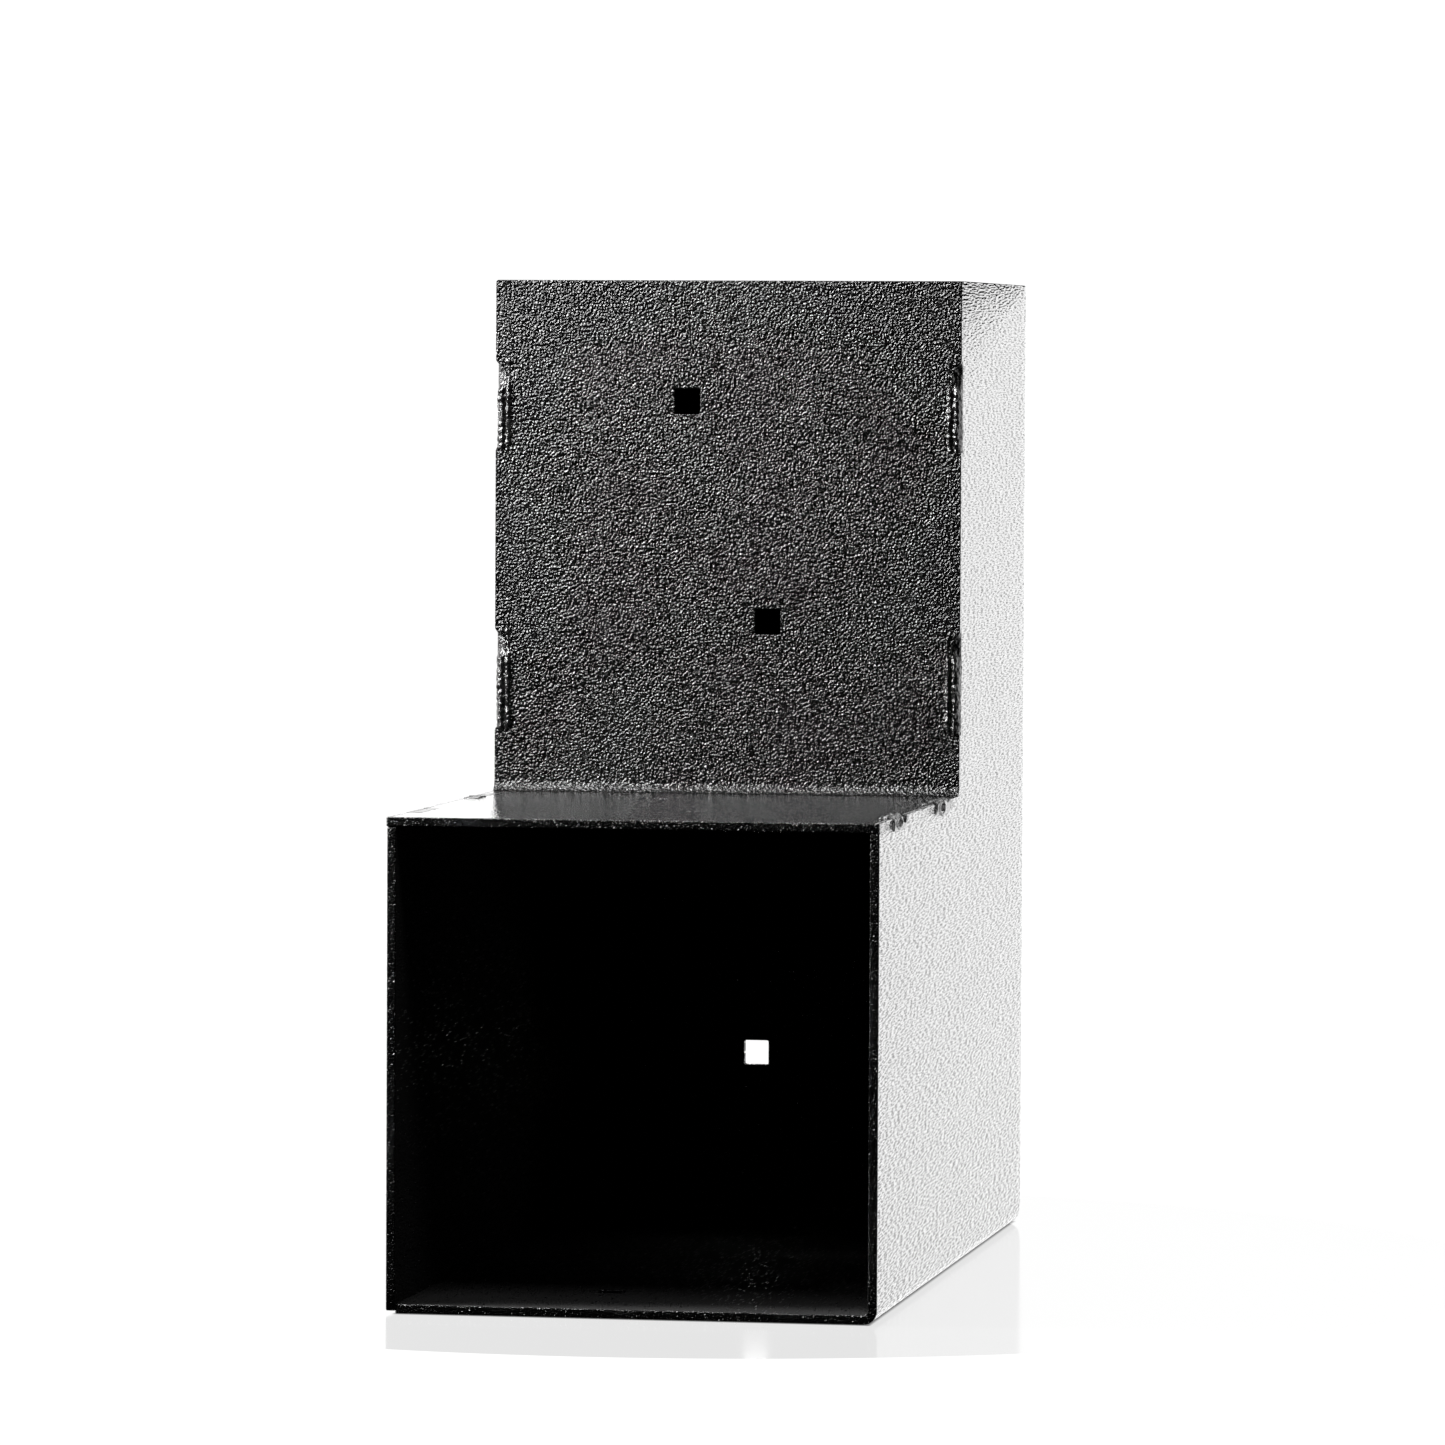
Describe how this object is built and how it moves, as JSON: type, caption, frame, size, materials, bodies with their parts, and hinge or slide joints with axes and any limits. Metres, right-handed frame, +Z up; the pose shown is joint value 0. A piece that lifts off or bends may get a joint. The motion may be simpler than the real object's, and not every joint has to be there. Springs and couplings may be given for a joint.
{
  "type": "stepped steel box",
  "caption": "Black powder-coated steel box in the shape of a step: a hollow lower leg open at the front and a hollow column open at the top, with square bolt holes.",
  "frame": {"origin": "bottom centre of the whole box: the middle of its footprint, on the surface it stands on", "axes": "+Z up, +Y from the open front towards the back, +X to the right seen from the front"},
  "size_m": [0.1608, 0.334, 0.334],
  "materials": {
    "coated_sheet": "black leather-grain powder coat on steel sheet, semi-gloss",
    "coated_weld": "the same black powder coat drawn smooth and glossy over weld beads"
  },
  "bodies": {
    "root": {"right_side_shell": "coated_sheet", "left_side_panel": "coated_sheet", "step_panel": "coated_sheet", "wall_weld_right_upper": "coated_weld", "wall_weld_right_lower": "coated_weld", "wall_weld_left_upper": "coated_weld", "wall_weld_left_lower": "coated_weld", "shelf_weld_right_front": "coated_weld", "shelf_weld_right_rear": "coated_weld", "shelf_weld_left_front": "coated_weld", "shelf_weld_left_rear": "coated_weld", "bottom_seam_welds": "coated_weld", "back_seam_welds": "coated_weld", "rear_corner_weld": "coated_weld"}
  },
  "joints": []
}
